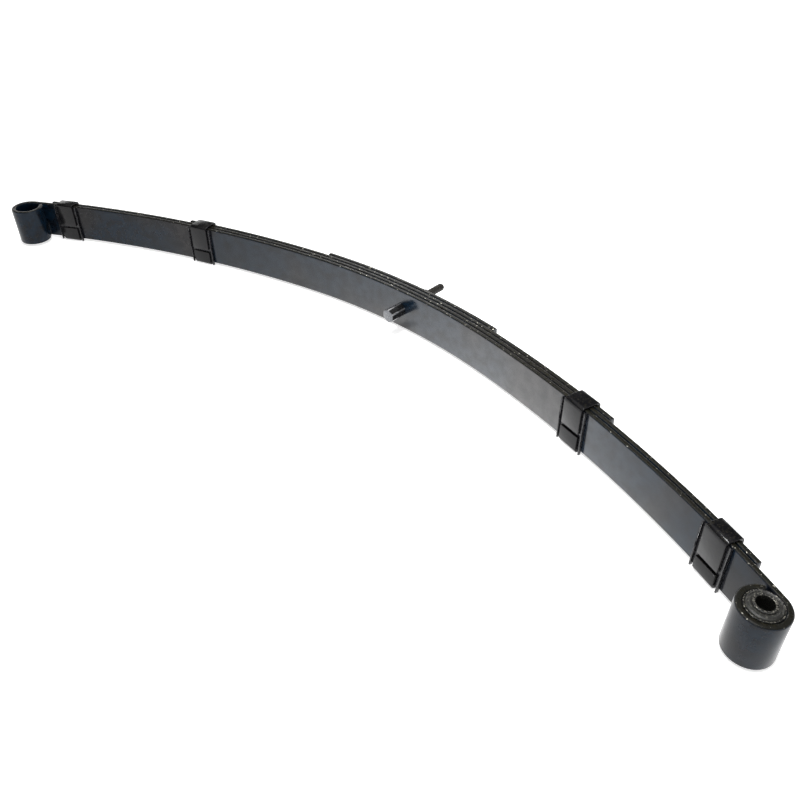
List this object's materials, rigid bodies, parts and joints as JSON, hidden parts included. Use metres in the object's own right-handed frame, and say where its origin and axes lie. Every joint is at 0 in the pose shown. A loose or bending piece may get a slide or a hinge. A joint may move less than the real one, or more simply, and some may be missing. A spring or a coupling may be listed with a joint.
{
  "type": "leaf spring",
  "caption": "Black multi-leaf semi-elliptic spring lying on its edge, with rolled eyes, a rubber bush at the near eye, wrap-round clips and a long centre bolt.",
  "frame": {"origin": "centre bolt axis on the hollow face of the main leaf, at mid width", "axes": "+X along the spring towards the bushed front eye, +Y along the centre bolt towards the shorter leaves, +Z across the leaf width; the spring lies on its edge"},
  "size_m": [1.4218, 0.3624, 0.0714],
  "materials": {
    "leaf_paint": "satin black paint",
    "clip_paint": "gloss black paint",
    "bolt_paint": "satin black paint",
    "liner_rubber": "smooth black",
    "bush_rubber": "matt black",
    "bush_steel": "black paint over steel"
  },
  "bodies": {
    "seat": {"main_leaf_middle": "leaf_paint", "second_leaf_middle": "leaf_paint", "third_leaf_middle": "leaf_paint", "short_leaf": "leaf_paint", "centre_bolt": "bolt_paint", "centre_nut": "bolt_paint"},
    "front_limb": {"main_leaf_front": "leaf_paint", "second_leaf_front": "leaf_paint", "third_leaf_front": "leaf_paint", "front_inner_clip": "clip_paint", "front_outer_clip": "clip_paint", "front_inner_liner": "liner_rubber", "front_outer_liner": "liner_rubber", "front_clip_rivets": "clip_paint", "bush_shell": "bush_steel", "bush_rubber": "bush_rubber"},
    "bush_core": {"bush_inner_sleeve": "bush_steel"},
    "rear_limb": {"main_leaf_rear": "leaf_paint", "second_leaf_rear": "leaf_paint", "third_leaf_rear": "leaf_paint", "rear_inner_clip": "clip_paint", "rear_outer_clip": "clip_paint", "rear_inner_liner": "liner_rubber", "rear_outer_liner": "liner_rubber", "rear_clip_rivets": "clip_paint"}
  },
  "joints": [
    {"name": "front_limb_flex", "type": "hinge", "parent": "seat", "child": "front_limb", "pos_m": [0.18111, -0.00474, 0], "axis": [0, 0, 1], "range_deg": [-3, 16], "stiffness_Nm_per_rad": 3000},
    {"name": "rear_limb_flex", "type": "hinge", "parent": "seat", "child": "rear_limb", "pos_m": [-0.19105, -0.0066, 0], "axis": [0, 0, -1], "range_deg": [-3, 16], "stiffness_Nm_per_rad": 2400},
    {"name": "front_bush_twist", "type": "hinge", "parent": "front_limb", "child": "bush_core", "pos_m": [0.64982, -0.19764, 0], "axis": [0, 0, 1], "range_deg": [-20, 20], "stiffness_Nm_per_rad": 70}
  ]
}
